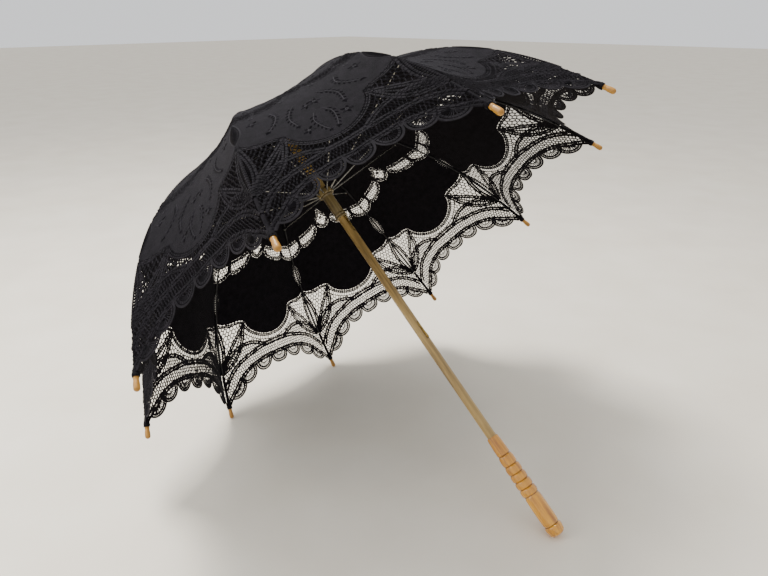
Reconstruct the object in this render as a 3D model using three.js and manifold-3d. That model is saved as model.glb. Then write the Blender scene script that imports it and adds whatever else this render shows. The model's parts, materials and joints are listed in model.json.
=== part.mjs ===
// Lace parasol with ten ribs, open and at rest on two rib tips and the end of its handle.
// It is built upright along its own shaft, with the rim plane at z = 0 and the ferrule up,
// and the finished assembly is then tilted onto the floor. All sizes are in millimetres.
import * as THREE from 'three';
import { mergeVertices } from 'three/addons/utils/BufferGeometryUtils.js';
import Module from 'manifold-3d';

const wasm = await Module();
wasm.setup();

// ---------- driving dimensions ----------
const RIB_COUNT = 10;
const RIB_STEP = (2 * Math.PI) / RIB_COUNT;
const FIRST_RIB_ANGLE = Math.PI + RIB_STEP / 2;   // ribs 1 and 2 stand on the floor

const RIM_RADIUS = 400;        // shaft axis to the end of a rib tip
const DOME_HEIGHT = 286;       // rim plane to the rib pivots
const HANDLE_REACH = 414;      // rim plane to the end of the handle

const SHAFT_RADIUS = 6.8;
const GAP = 0.3;               // clearance between neighbouring pieces

const HANDLE_LENGTH = 153;
const HANDLE_RADIUS = 11.6;    // at the plain barrel
const HANDLE_END_FILLET = 6;
const TENON_RADIUS = 5;
const HANDLE_TENON_LENGTH = 32;

const RIB_PIVOT_RADIUS = 10.2;
const RIB_WIRE_RADIUS = 1.25;
const EYE_RADIUS = 1.9;        // flattened end round a hinge wire
const EYE_HOLE_RADIUS = 0.75;
const HINGE_WIRE_RADIUS = 0.45;
const BLADE_THICKNESS = 1.3;
const BLADE_LENGTH = 9;

const TIP_LENGTH = 22;
const TIP_RADIUS = 4;
const TIP_NECK_RADIUS = 3.2;
const TIP_SOCKET_DEPTH = 12;

const CLIP_PLACE = 0.41;       // share of the rib's length where the stretcher joins it
const CLIP_DROP = 3.4;         // stretcher pivot below the rib wire
const CLIP_LENGTH = 9;
const CLIP_RADIUS = 1.9;
const CLIP_EAR_RADIUS = 2.2;
const CLIP_EAR_THICKNESS = 2;
const STRETCHER_EYE_RADIUS = 2.3;
const STRETCHER_SIDE = 2.6;    // the stretcher's outer end passes beside the rib's clip
const STRETCHER_WIRE_RADIUS = 1.0;

const RUNNER_PIVOT_Z = 174;
const RUNNER_PIVOT_RADIUS = 10.2;
const RUNNER_BORE = SHAFT_RADIUS + 0.35;
const RUNNER_SLEEVE_RADIUS = 8.3;
const RUNNER_CROWN_RADIUS = 12.8;
const NOTCH_RADIUS = 13;
const HUB_SLOT_START = 8;      // how near the shaft axis the hinge slots begin
const HUB_HALF_HEIGHT = 4;
const HUB_CHAMFER = 0.8;
const HUB_GROOVE_HALF = 0.9;   // half the width of the groove for the hinge wire
const COLLAR_RADIUS = 9.8;
const COLLAR_BOTTOM_Z = 126;
const RUNNER_TRAVEL = 274.7;

const STOP_PIN_RADIUS = 0.85;
const STOP_PIN_PROUD = 1.7;
const STOP_PIN_HOLE_RADIUS = 1.2;

const CATCH_WIDTH = 2.4;
const CATCH_LENGTH = 27;
const CATCH_PROUD = 2.6;       // how far a catch stands out of the shaft
const CATCH_SLOT_WIDTH = 3.2;
const CATCH_SLOT_DEPTH = 4.5;

const CAP_RADIUS = 25;
const CAP_DEPTH = 2.4;         // between the cloth's top and the ferrule
const FERRULE_LENGTH = 34;
const FERRULE_TENON_LENGTH = 12;

const CLOTH_THICKNESS = 1.2;
const CLOTH_LIFT = 3.2;        // rib centre line to the cloth's inner face
const CLOTH_START_RADIUS = 15;
const CLOTH_SAG = 0.064;       // how far mid-panel pulls in towards the shaft
const CLOTH_EDGE_MID = 0.90;   // share of the rib's length reached at mid-panel
const CLOTH_EDGE_RIB = 0.95;   // and at the rib, just short of the wooden tip

// ---------- materials ----------
const material = (color, roughness, metalness) =>
  new THREE.MeshStandardMaterial({ color, roughness, metalness });
const handleWood = material(0xc88f3c, 0.35, 0);
const shaftWood = material(0xb08c55, 0.5, 0);
const tipWood = material(0xc79a58, 0.45, 0);
const runnerWood = material(0x8c7a4e, 0.4, 0.2);
const ribSteel = material(0x3c3c40, 0.4, 0.9);
const stretcherSteel = material(0x9b9a96, 0.35, 0.9);
const catchBrass = material(0xb59a55, 0.35, 0.9);
const lace = material(0x232126, 0.85, 0);

// ---------- assembly groups ----------
const parasol = new THREE.Group();
const upright = new THREE.Group();
parasol.add(upright);

function addPiece(parent, name, geometry, pieceMaterial) {
  const mesh = new THREE.Mesh(geometry, pieceMaterial);
  mesh.name = name;
  parent.add(mesh);
  return mesh;
}

// ---------- shape helpers ----------
// A turned piece about Z, from [radius, z] points.
function turned(points, segments) {
  const profile = points.map(([r, z]) => new THREE.Vector2(r, z));
  return new THREE.LatheGeometry(profile, segments).rotateX(Math.PI / 2);
}

// A flat piece in the XZ plane, centred on y = 0, from an outline of [x, z] points.
function plate(shape, thickness) {
  const geometry = new THREE.ExtrudeGeometry(shape, {
    depth: thickness, bevelEnabled: false, curveSegments: 4,
  });
  return geometry.translate(0, 0, -thickness / 2).rotateX(Math.PI / 2);
}

function outline(points) {
  return new THREE.Shape(points.map(([x, z]) => new THREE.Vector2(x, z)));
}

// A round wire along a curve.
function wire(curve, radius, steps, sides) {
  const section = new THREE.Shape();
  section.absarc(0, 0, radius, 0, 2 * Math.PI, false);
  return new THREE.ExtrudeGeometry(section, {
    steps, bevelEnabled: false, extrudePath: curve, curveSegments: sides,
  });
}

function toManifold(geometry) {
  const bare = geometry.clone();
  bare.deleteAttribute('normal');
  bare.deleteAttribute('uv');
  const welded = mergeVertices(bare.index ? bare.toNonIndexed() : bare, 1e-4);
  return new wasm.Manifold(new wasm.Mesh({
    numProp: 3,
    vertProperties: new Float32Array(welded.attributes.position.array),
    triVerts: new Uint32Array(welded.index.array),
  }));
}

function fromManifold(solid) {
  const mesh = solid.getMesh();
  const geometry = new THREE.BufferGeometry();
  geometry.setAttribute('position', new THREE.BufferAttribute(mesh.vertProperties, 3));
  geometry.setIndex(new THREE.BufferAttribute(mesh.triVerts, 1));
  geometry.computeVertexNormals();
  return geometry;
}

function join(...geometries) {
  return fromManifold(wasm.Manifold.union(geometries.map(toManifold)));
}

function cut(body, ...tools) {
  return fromManifold(toManifold(body).subtract(wasm.Manifold.union(tools.map(toManifold))));
}

// ---------- the rib's curve, in its own plane: x outwards, z up the shaft ----------
const ribCurve = new THREE.CubicBezierCurve3(
  new THREE.Vector3(RIB_PIVOT_RADIUS, 0, DOME_HEIGHT),
  new THREE.Vector3(0.585 * RIM_RADIUS, 0, DOME_HEIGHT),
  new THREE.Vector3(0.823 * RIM_RADIUS, 0, 0.42 * RIM_RADIUS),
  new THREE.Vector3(RIM_RADIUS, 0, 0),
);
ribCurve.arcLengthDivisions = 400;
const ribLength = ribCurve.getLength();

// A stretch of the rib's curve between two shares of its length, for extruding along.
class RibStretch extends THREE.Curve {
  constructor(from, to) {
    super();
    this.from = from;
    this.to = to;
  }

  getPoint(t, target = new THREE.Vector3()) {
    return target.copy(ribCurve.getPointAt(this.from + (this.to - this.from) * t));
  }
}

// The outward normal of the rib's curve, away from the shaft and up.
function ribNormal(share) {
  const along = ribCurve.getTangentAt(share);
  return new THREE.Vector3(-along.z, 0, along.x);
}

// ---------- shaft, with its catch slots, stop-pin hole and end tenons ----------
const handleTopZ = HANDLE_LENGTH - HANDLE_REACH;
const ferruleBaseZ = DOME_HEIGHT + CLOTH_LIFT + CLOTH_THICKNESS + CAP_DEPTH;
const stopPinZ = RUNNER_PIVOT_Z + 7;
const topCatchFlatZ = COLLAR_BOTTOM_Z - 0.5;
const bottomCatchFlatZ = RUNNER_PIVOT_Z + 4.3 - RUNNER_TRAVEL;

function slotTool(flatZ, direction) {
  const height = CATCH_LENGTH + 2;
  const box = new THREE.BoxGeometry(CATCH_SLOT_DEPTH + 4, CATCH_SLOT_WIDTH, height);
  const x = SHAFT_RADIUS - CATCH_SLOT_DEPTH + (CATCH_SLOT_DEPTH + 4) / 2;
  return box.translate(x, 0, flatZ + direction * (height / 2 - 1));
}

function shaftGeometry() {
  const body = turned([
    [0, handleTopZ - HANDLE_TENON_LENGTH],
    [TENON_RADIUS, handleTopZ - HANDLE_TENON_LENGTH],
    [TENON_RADIUS, handleTopZ + GAP],
    [SHAFT_RADIUS, handleTopZ + GAP],
    [SHAFT_RADIUS, ferruleBaseZ - GAP],
    [TENON_RADIUS, ferruleBaseZ - GAP],
    [TENON_RADIUS, ferruleBaseZ + FERRULE_TENON_LENGTH],
    [0, ferruleBaseZ + FERRULE_TENON_LENGTH],
  ], 24);
  const pinHole = new THREE.CylinderGeometry(
    STOP_PIN_HOLE_RADIUS, STOP_PIN_HOLE_RADIUS, 3 * SHAFT_RADIUS, 12)
    .rotateZ(Math.PI / 2)
    .translate(0, 0, stopPinZ);
  return cut(body, slotTool(topCatchFlatZ, -1), slotTool(bottomCatchFlatZ, 1), pinHole);
}

// ---------- turned handle: a collar, a run of beads, a plain barrel and an end bead ----------
const GROOVE_PLACES = [0.187, 0.29, 0.374, 0.449, 0.523, 0.597, 0.9];
const GROOVE_DEPTH = 1.3;
const HANDLE_TOP_RADIUS = 8.6;

function handleRadius(share) {
  const swell = Math.sin(Math.min(share / 0.75, 1) * Math.PI / 2);
  return HANDLE_TOP_RADIUS + (HANDLE_RADIUS - HANDLE_TOP_RADIUS) * swell;
}

function handleGeometry() {
  const points = [];
  const socketDepth = HANDLE_TENON_LENGTH + 1;
  const socketRadius = TENON_RADIUS + GAP;
  const endRadius = handleRadius(1);
  const add = (r, z) => points.push([r, z]);
  add(0, -HANDLE_REACH);
  for (let i = 0; i <= 4; i += 1) {
    const a = (i / 4) * Math.PI / 2;
    add(endRadius - HANDLE_END_FILLET * (1 - Math.sin(a)),
      -HANDLE_REACH + HANDLE_END_FILLET * (1 - Math.cos(a)));
  }
  const stops = [0, ...GROOVE_PLACES].reverse();
  const bulgeSteps = 4;
  stops.forEach((upper, k) => {
    const lower = k === 0 ? 0.955 : stops[k - 1];
    const crown = lower - upper < 0.15 ? 0.7 : 0.25;
    for (let i = k === 0 ? 1 : 0; i < bulgeSteps; i += 1) {
      const f = i / bulgeSteps;
      const share = lower + (upper - lower) * f;
      const depth = i === 0 ? -GROOVE_DEPTH : crown * Math.sin(Math.PI * f);
      add(handleRadius(share) + depth, handleTopZ - share * HANDLE_LENGTH);
    }
  });
  add(HANDLE_TOP_RADIUS - 0.4, handleTopZ + 0.2);
  add(socketRadius, handleTopZ);
  add(socketRadius, handleTopZ - socketDepth);
  add(0, handleTopZ - socketDepth);
  return turned(points, 20);
}

// ---------- ferrule and crown cap above the canopy ----------
function ferruleGeometry() {
  const socket = TENON_RADIUS + GAP;
  return turned([
    [socket, ferruleBaseZ],
    [9, ferruleBaseZ],
    [9.4, ferruleBaseZ + 2],
    [7.6, ferruleBaseZ + 4],
    [6.8, ferruleBaseZ + 6],
    [7.4, ferruleBaseZ + 9],
    [6.9, ferruleBaseZ + 13],
    [5.4, ferruleBaseZ + 22],
    [4.6, ferruleBaseZ + 30],
    [3.6, ferruleBaseZ + FERRULE_LENGTH],
    [0, ferruleBaseZ + FERRULE_LENGTH],
    [0, ferruleBaseZ + FERRULE_TENON_LENGTH + 1],
    [socket, ferruleBaseZ + FERRULE_TENON_LENGTH + 1],
    [socket, ferruleBaseZ],
  ], 18);
}

function crownCapGeometry() {
  const bore = SHAFT_RADIUS + GAP;
  const top = ferruleBaseZ - GAP;
  return turned([
    [bore, top - 1.2],
    [CAP_RADIUS, top - 2.1],
    [CAP_RADIUS + 0.4, top - 1.5],
    [CAP_RADIUS, top - 0.9],
    [bore, top],
    [bore, top - 1.2],
  ], 24);
}

// ---------- slotted hubs: the top notch and the runner's crown ----------
// A disc with a slot for each rib or stretcher, and a groove for the hinge wire that
// opens upwards (side = 1) or downwards (side = -1).
function slottedHub(bore, radius, pivotRadius, pivotZ, side) {
  const near = pivotZ + side * HUB_HALF_HEIGHT;
  const far = pivotZ - side * HUB_HALF_HEIGHT;
  const floor = pivotZ - side * HUB_GROOVE_HALF;
  const profile = [
    [bore, far],
    [radius - HUB_CHAMFER, far],
    [radius, far + side * HUB_CHAMFER],
    [radius, near - side * HUB_CHAMFER],
    [radius - HUB_CHAMFER, near],
    [pivotRadius + HUB_GROOVE_HALF, near],
    [pivotRadius + HUB_GROOVE_HALF, floor],
    [pivotRadius - HUB_GROOVE_HALF, floor],
    [pivotRadius - HUB_GROOVE_HALF, near],
    [bore, near],
    [bore, far],
  ];
  const slots = [];
  for (let i = 0; i < RIB_COUNT; i += 1) {
    const length = radius - HUB_SLOT_START + 2;
    const width = BLADE_THICKNESS + 2 * GAP;
    const slot = new THREE.BoxGeometry(length, width, 4 * HUB_HALF_HEIGHT);
    slots.push(slot.translate(HUB_SLOT_START + length / 2, 0, pivotZ).rotateZ(ribAngle(i)));
  }
  return cut(turned(side > 0 ? profile : profile.reverse(), 20), ...slots);
}

function ribAngle(index) {
  return FIRST_RIB_ANGLE - index * RIB_STEP;
}

function hingeWireGeometry(radius, z) {
  return new THREE.TorusGeometry(radius, HINGE_WIRE_RADIUS, 5, 30).translate(0, 0, z);
}

// ---------- runner: sleeve and flared collar ----------
const sleeveTopZ = RUNNER_PIVOT_Z - HUB_HALF_HEIGHT - GAP;
const collarTopZ = COLLAR_BOTTOM_Z + 8;

function runnerSleeveGeometry() {
  return turned([
    [RUNNER_BORE, collarTopZ + GAP],
    [RUNNER_SLEEVE_RADIUS, collarTopZ + GAP],
    [RUNNER_SLEEVE_RADIUS, sleeveTopZ - 3],
    [RUNNER_SLEEVE_RADIUS + 1.1, sleeveTopZ - 1.5],
    [RUNNER_SLEEVE_RADIUS + 1.1, sleeveTopZ],
    [RUNNER_BORE, sleeveTopZ],
    [RUNNER_BORE, collarTopZ + GAP],
  ], 24);
}

function runnerCollarGeometry() {
  return turned([
    [RUNNER_BORE, COLLAR_BOTTOM_Z],
    [COLLAR_RADIUS - 0.7, COLLAR_BOTTOM_Z],
    [COLLAR_RADIUS, COLLAR_BOTTOM_Z + 0.9],
    [COLLAR_RADIUS, COLLAR_BOTTOM_Z + 2.6],
    [COLLAR_RADIUS - 1.1, COLLAR_BOTTOM_Z + 4.2],
    [COLLAR_RADIUS - 0.4, COLLAR_BOTTOM_Z + 6],
    [COLLAR_RADIUS - 0.9, collarTopZ],
    [RUNNER_BORE, collarTopZ],
    [RUNNER_BORE, COLLAR_BOTTOM_Z],
  ], 24);
}

// ---------- spring catches and the runner's stop pin ----------
function catchGeometry(flatZ, direction) {
  const inner = SHAFT_RADIUS - 1.6;
  const outer = SHAFT_RADIUS + CATCH_PROUD;
  const thinZ = flatZ + direction * CATCH_LENGTH;
  const points = [
    [inner, flatZ],
    [outer, flatZ],
    [outer, flatZ + direction * 1.2],
    [SHAFT_RADIUS - 0.2, thinZ],
    [inner, thinZ],
  ];
  return plate(outline(direction > 0 ? points : points.reverse()), CATCH_WIDTH);
}

function stopPinGeometry() {
  const length = 2 * (SHAFT_RADIUS + STOP_PIN_PROUD);
  return new THREE.CylinderGeometry(STOP_PIN_RADIUS, STOP_PIN_RADIUS, length, 10)
    .rotateZ(Math.PI / 2)
    .translate(0, 0, stopPinZ);
}

// ---------- rib: hinge blade, bowed wire and stretcher clip ----------
const ribWireEnd = 1 - (TIP_LENGTH - TIP_SOCKET_DEPTH + 1) / ribLength;
const clipPoint = ribCurve.getPointAt(CLIP_PLACE);
const clipPivot = clipPoint.clone().addScaledVector(ribNormal(CLIP_PLACE), -CLIP_DROP);

function eyeBlade(x, z, length, angle) {
  const shape = new THREE.Shape();
  const half = Math.asin(0.62);
  shape.absarc(0, 0, EYE_RADIUS, half, 2 * Math.PI - half, false);
  shape.lineTo(length, -1);
  shape.lineTo(length, 1);
  const hole = new THREE.Path();
  hole.absarc(0, 0, EYE_HOLE_RADIUS, 0, 2 * Math.PI, true);
  shape.holes.push(hole);
  return plate(shape, BLADE_THICKNESS).rotateY(-angle).translate(x, 0, z);
}

function ribGeometry() {
  const along = ribCurve.getTangentAt(CLIP_PLACE);
  const slope = Math.atan2(along.z, along.x);
  const blade = eyeBlade(RIB_PIVOT_RADIUS, DOME_HEIGHT, BLADE_LENGTH, 0);
  const bar = wire(new RibStretch(6 / ribLength, ribWireEnd), RIB_WIRE_RADIUS, 14, 3);
  const sleeve = new THREE.CylinderGeometry(CLIP_RADIUS, CLIP_RADIUS, CLIP_LENGTH, 6)
    .rotateZ(Math.PI / 2)
    .rotateY(-slope)
    .translate(clipPoint.x, clipPoint.y, clipPoint.z);
  const ear = new THREE.CylinderGeometry(CLIP_EAR_RADIUS, CLIP_EAR_RADIUS, CLIP_EAR_THICKNESS, 8)
    .translate(clipPivot.x, 0, clipPivot.z);
  const neck = new THREE.BoxGeometry(4, CLIP_EAR_THICKNESS, CLIP_DROP)
    .translate(0, 0, -CLIP_DROP / 2)
    .rotateY(-slope)
    .translate(clipPoint.x, 0, clipPoint.z);
  return join(blade, bar, sleeve, ear, neck);
}

// ---------- wooden rib tip: a small turned bullet with a socket for the wire ----------
function tipGeometry() {
  const socket = RIB_WIRE_RADIUS + 2 * GAP;
  const end = ribCurve.getPointAt(1);
  const along = ribCurve.getTangentAt(1);
  const points = [[0, 0]];
  for (let i = 1; i <= 3; i += 1) {
    const a = (i / 3) * Math.PI / 2;
    points.push([TIP_RADIUS * Math.sin(a), TIP_RADIUS * (1 - Math.cos(a))]);
  }
  points.push(
    [TIP_RADIUS - 0.1, 9],
    [TIP_RADIUS - 0.9, 12],
    [TIP_RADIUS - 0.6, 14.5],
    [TIP_NECK_RADIUS, TIP_LENGTH - 1.2],
    [TIP_NECK_RADIUS - 0.8, TIP_LENGTH],
    [socket, TIP_LENGTH],
    [socket, TIP_LENGTH - TIP_SOCKET_DEPTH],
    [0, TIP_LENGTH - TIP_SOCKET_DEPTH],
  );
  const lean = Math.atan2(-along.x, -along.z);
  return turned(points, 10).rotateY(lean).translate(end.x, 0, end.z);
}

// ---------- stretcher: slotted-hub eye, straight wire, riveted outer end ----------
function stretcherGeometry() {
  const rise = clipPivot.z - RUNNER_PIVOT_Z;
  const run = clipPivot.x - RUNNER_PIVOT_RADIUS;
  const slope = Math.atan2(rise, run);
  const blade = eyeBlade(RUNNER_PIVOT_RADIUS, RUNNER_PIVOT_Z, BLADE_LENGTH, slope);
  const inner = new THREE.Vector3(RUNNER_PIVOT_RADIUS, 0, RUNNER_PIVOT_Z)
    .addScaledVector(new THREE.Vector3(Math.cos(slope), 0, Math.sin(slope)), 5);
  const outer = new THREE.Vector3(clipPivot.x, STRETCHER_SIDE, clipPivot.z);
  const bar = wire(new THREE.LineCurve3(inner, outer), STRETCHER_WIRE_RADIUS, 1, 3);
  const eye = new THREE.CylinderGeometry(STRETCHER_EYE_RADIUS, STRETCHER_EYE_RADIUS, 1.5, 8)
    .translate(outer.x, STRETCHER_SIDE - 0.1, outer.z);
  const rivet = new THREE.CylinderGeometry(0.8, 1.4, 1, 6)
    .translate(outer.x, STRETCHER_SIDE + 0.9, outer.z);
  return join(blade, bar, eye, rivet);
}

// ---------- canopy: one closed cloth petal over each rib, out to mid-panel each side ----------
const clothStart = (() => {
  let share = 0;
  while (ribCurve.getPointAt(share).x < CLOTH_START_RADIUS) {
    share += 0.001;
  }
  return share;
})();

// A point of the canopy: share along the rib, side across the petal from -1 to 1.
function clothPoint(share, side, lift) {
  const rib = ribCurve.getPointAt(share).addScaledVector(ribNormal(share), lift);
  const chord = 2 * rib.x * Math.sin(RIB_STEP / 2);
  const across = Math.abs(side) * (0.5 - (0.5 * GAP) / chord);
  const sag = 1 - CLOTH_SAG * 4 * across * (1 - across);
  const turn = Math.sign(side) * RIB_STEP;
  const x = rib.x * (1 - across + across * Math.cos(turn));
  const y = rib.x * across * Math.sin(turn);
  return new THREE.Vector3(x * sag, y * sag, rib.z);
}

function petalGeometry() {
  const rows = 12;
  const columns = 6;
  const positions = [];
  const indices = [];
  const lifts = [CLOTH_LIFT, CLOTH_LIFT + CLOTH_THICKNESS];
  const index = (layer, row, column) => (layer * (rows + 1) + row) * (columns + 1) + column;
  lifts.forEach((lift) => {
    for (let row = 0; row <= rows; row += 1) {
      for (let column = 0; column <= columns; column += 1) {
        const side = (2 * column) / columns - 1;
        const corner = Math.exp(-((side / 0.12) ** 2));
        const edge = CLOTH_EDGE_MID + (CLOTH_EDGE_RIB - CLOTH_EDGE_MID) * corner;
        const share = clothStart + ((edge - clothStart) * row) / rows;
        positions.push(...clothPoint(share, side, lift).toArray());
      }
    }
  });
  const quad = (a, b, c, d) => indices.push(a, b, c, a, c, d);
  for (let row = 0; row < rows; row += 1) {
    for (let column = 0; column < columns; column += 1) {
      quad(index(1, row, column), index(1, row + 1, column),
        index(1, row + 1, column + 1), index(1, row, column + 1));
      quad(index(0, row, column), index(0, row, column + 1),
        index(0, row + 1, column + 1), index(0, row + 1, column));
    }
  }
  for (let row = 0; row < rows; row += 1) {
    quad(index(0, row, 0), index(0, row + 1, 0), index(1, row + 1, 0), index(1, row, 0));
    quad(index(1, row, columns), index(1, row + 1, columns),
      index(0, row + 1, columns), index(0, row, columns));
  }
  for (let column = 0; column < columns; column += 1) {
    quad(index(1, 0, column), index(1, 0, column + 1),
      index(0, 0, column + 1), index(0, 0, column));
    quad(index(0, rows, column), index(0, rows, column + 1),
      index(1, rows, column + 1), index(1, rows, column));
  }
  const geometry = new THREE.BufferGeometry();
  geometry.setAttribute('position', new THREE.Float32BufferAttribute(positions, 3));
  geometry.setIndex(indices);
  geometry.computeVertexNormals();
  return geometry;
}

// ---------- put the parasol together, upright ----------
addPiece(upright, 'shaft', shaftGeometry(), shaftWood);
addPiece(upright, 'handle', handleGeometry(), handleWood);
addPiece(upright, 'ferrule', ferruleGeometry(), handleWood);
addPiece(upright, 'crown_cap', crownCapGeometry(), lace);
addPiece(upright, 'top_notch',
  slottedHub(SHAFT_RADIUS + GAP, NOTCH_RADIUS, RIB_PIVOT_RADIUS, DOME_HEIGHT, 1), runnerWood);
addPiece(upright, 'notch_wire', hingeWireGeometry(RIB_PIVOT_RADIUS, DOME_HEIGHT), ribSteel);
addPiece(upright, 'stop_pin', stopPinGeometry(), ribSteel);
addPiece(upright, 'top_catch', catchGeometry(topCatchFlatZ, -1), catchBrass);
addPiece(upright, 'bottom_catch', catchGeometry(bottomCatchFlatZ, 1), catchBrass);

addPiece(upright, 'runner_crown',
  slottedHub(RUNNER_BORE, RUNNER_CROWN_RADIUS, RUNNER_PIVOT_RADIUS, RUNNER_PIVOT_Z, -1),
  runnerWood);
addPiece(upright, 'runner_wire', hingeWireGeometry(RUNNER_PIVOT_RADIUS, RUNNER_PIVOT_Z),
  ribSteel);
addPiece(upright, 'runner_sleeve', runnerSleeveGeometry(), runnerWood);
addPiece(upright, 'runner_collar', runnerCollarGeometry(), runnerWood);

const rib = ribGeometry();
const tip = tipGeometry();
const stretcher = stretcherGeometry();
const petal = petalGeometry();
for (let i = 0; i < RIB_COUNT; i += 1) {
  const spoke = new THREE.Group();
  spoke.rotation.z = ribAngle(i);
  upright.add(spoke);
  addPiece(spoke, `rib_${i + 1}`, rib, ribSteel);
  addPiece(spoke, `rib_tip_${i + 1}`, tip, tipWood);
  addPiece(spoke, `stretcher_${i + 1}`, stretcher, stretcherSteel);
  addPiece(spoke, `canopy_${i + 1}`, petal, lace);
}

// ---------- lean it over until two rib tips and the handle's end touch one plane ----------
// In the mirror plane, the floor is tangent to the tips' round ends and to the fillet at
// the end of the handle.
function restingTilt() {
  const tipAlong = ribCurve.getTangentAt(1);
  const tipCentre = ribCurve.getPointAt(1).addScaledVector(tipAlong, -TIP_RADIUS);
  const tipX = tipCentre.x * Math.cos(RIB_STEP / 2);
  const filletX = handleRadius(1) - HANDLE_END_FILLET;
  const filletZ = -HANDLE_REACH + HANDLE_END_FILLET;
  const across = tipX - filletX;
  const up = tipCentre.z - filletZ;
  const lean = Math.asin((HANDLE_END_FILLET - TIP_RADIUS) / Math.hypot(across, up));
  return Math.atan2(up, across) + lean;
}

upright.rotation.y = -restingTilt();
parasol.updateMatrixWorld(true);
const box = new THREE.Box3().setFromObject(parasol, true);
parasol.position.set(-(box.min.x + box.max.x) / 2, -(box.min.y + box.max.y) / 2, -box.min.z);

export default parasol;
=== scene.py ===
# Lace parasol, open, at rest on two rib tips and the end of its handle.
#
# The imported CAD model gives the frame. This script dresses it: openwork lace and cloth gores on
# the ribs, turned and varnished wood, drawn wire, thread ties, and a plain floor with soft light.
# Everything on the parasol is laid out in its own shaft frame, which the frame's joints give:
# the origin is the middle of the rim plane, +Z runs up the shaft and ribs 1 and 2 lie about -X.
import json
import math

import bpy
import numpy as np
from mathutils import Matrix, Vector
from mathutils.geometry import delaunay_2d_cdt


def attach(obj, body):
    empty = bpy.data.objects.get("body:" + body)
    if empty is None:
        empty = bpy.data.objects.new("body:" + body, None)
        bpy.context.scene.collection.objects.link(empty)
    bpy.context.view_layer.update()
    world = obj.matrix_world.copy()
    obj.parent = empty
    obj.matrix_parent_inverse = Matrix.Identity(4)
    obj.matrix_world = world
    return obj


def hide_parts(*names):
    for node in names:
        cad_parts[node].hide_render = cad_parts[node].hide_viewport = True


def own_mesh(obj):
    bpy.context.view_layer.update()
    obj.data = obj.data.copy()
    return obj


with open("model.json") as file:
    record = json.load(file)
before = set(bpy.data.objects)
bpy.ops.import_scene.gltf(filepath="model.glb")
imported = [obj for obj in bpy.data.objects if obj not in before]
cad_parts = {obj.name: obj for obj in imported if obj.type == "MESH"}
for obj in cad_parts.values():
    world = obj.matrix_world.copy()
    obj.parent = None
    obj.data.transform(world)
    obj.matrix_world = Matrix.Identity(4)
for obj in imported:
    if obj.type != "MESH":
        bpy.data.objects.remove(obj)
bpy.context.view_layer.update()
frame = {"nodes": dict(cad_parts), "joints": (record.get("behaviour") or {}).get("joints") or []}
MM = 0.001

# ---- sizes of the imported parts
RIBS = 10
STEP = 2 * math.pi / RIBS
RIM = 400 * MM  # shaft axis to a rib tip's end
DOME = 286 * MM  # rim plane to the rib pivots
PIVOT_R = 10.2 * MM  # shaft axis to a rib pivot
SAG = 0.064  # how far mid-panel pulls in towards the shaft
LIFT = 3.7 * MM  # rib centre line to the middle of the cloth
SHAFT_R = 6.8 * MM
CLIP_PLACE = 0.41  # share of the rib where the stretcher joins it
CLIP_DROP = 3.4 * MM  # rib centre line to the stretcher's outer pivot
STRETCHER_SIDE = 2.6 * MM  # the stretcher's outer end passes beside the rib's clip
RUNNER_Z = 174 * MM  # rim plane to the runner's pivots
HANDLE_REACH = 414 * MM  # rim plane to the end of the handle
HANDLE_LENGTH = 153 * MM
RUNNER_BORE = SHAFT_R + 0.35 * MM
COLLAR_Z = 126 * MM  # rim plane to the foot of the runner's collar
COLLAR_LENGTH = 8 * MM

joints = {j["name"]: j for j in frame["joints"]}


def shaft_frame():
    """The matrix from the shaft frame to the row frame, read from the joints."""
    pivots = [Vector(joints[f"rib_{i + 1}_fold"]["pos_m"]) for i in range(RIBS)]
    middle = sum(pivots, Vector()) / RIBS
    up = -Vector(joints["runner_slide"]["axis"]).normalized()
    out = -((pivots[0] - middle) + (pivots[1] - middle))
    out = (out - up * out.dot(up)).normalized()
    side = up.cross(out)
    origin = middle - up * DOME
    return Matrix((
        (out.x, side.x, up.x, origin.x),
        (out.y, side.y, up.y, origin.y),
        (out.z, side.z, up.z, origin.z),
        (0, 0, 0, 1),
    ))


SHAFT = shaft_frame()
SHAFT_NP = np.array(SHAFT)


def to_row(points):
    """Shaft-frame points, as an (n, 3) array, in the row frame."""
    return points @ SHAFT_NP[:3, :3].T + SHAFT_NP[:3, 3]


def rib_angle(index):
    return math.pi + STEP / 2 - index * STEP


# ---- the rib's bow
def bow_table(samples=4001):
    """The rib's Bezier bow as (r, z, outward normal) against the share of its length."""
    s = np.linspace(0, 1, samples)[:, None]
    p0 = np.array([PIVOT_R, DOME])
    p1 = np.array([0.585 * RIM, DOME])
    p2 = np.array([0.823 * RIM, 0.42 * RIM])
    p3 = np.array([RIM, 0.0])
    points = (1 - s) ** 3 * p0 + 3 * (1 - s) ** 2 * s * p1 + 3 * (1 - s) * s ** 2 * p2 + s ** 3 * p3
    length = np.concatenate([[0], np.cumsum(np.hypot(*np.diff(points, axis=0).T))])
    along = np.gradient(points, axis=0)
    along /= np.hypot(along[:, 0], along[:, 1])[:, None]
    return length[-1], length / length[-1], points, np.stack([-along[:, 1], along[:, 0]], 1)


BOW_LENGTH, BOW_SHARE, BOW_POINT, BOW_NORMAL = bow_table()


def bow_normal(share):
    return [np.interp(share, BOW_SHARE, BOW_NORMAL[:, k]) for k in (0, 1)]


def bow(share, lift=0.0):
    """Radius and height of the bow at a share of its length, lifted off along its normal."""
    share = np.asarray(share, float)
    r, z = (np.interp(share, BOW_SHARE, BOW_POINT[:, k]) for k in (0, 1))
    nr, nz = bow_normal(share)
    return r + nr * lift, z + nz * lift


CHORD_SHARE = 1.02  # cloth across a panel, against the straight chord


def panel_width(share):
    """Width of the cloth from rib to rib at a share of the rib's length."""
    return 2 * bow(share)[0] * math.sin(STEP / 2) * CHORD_SHARE


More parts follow.
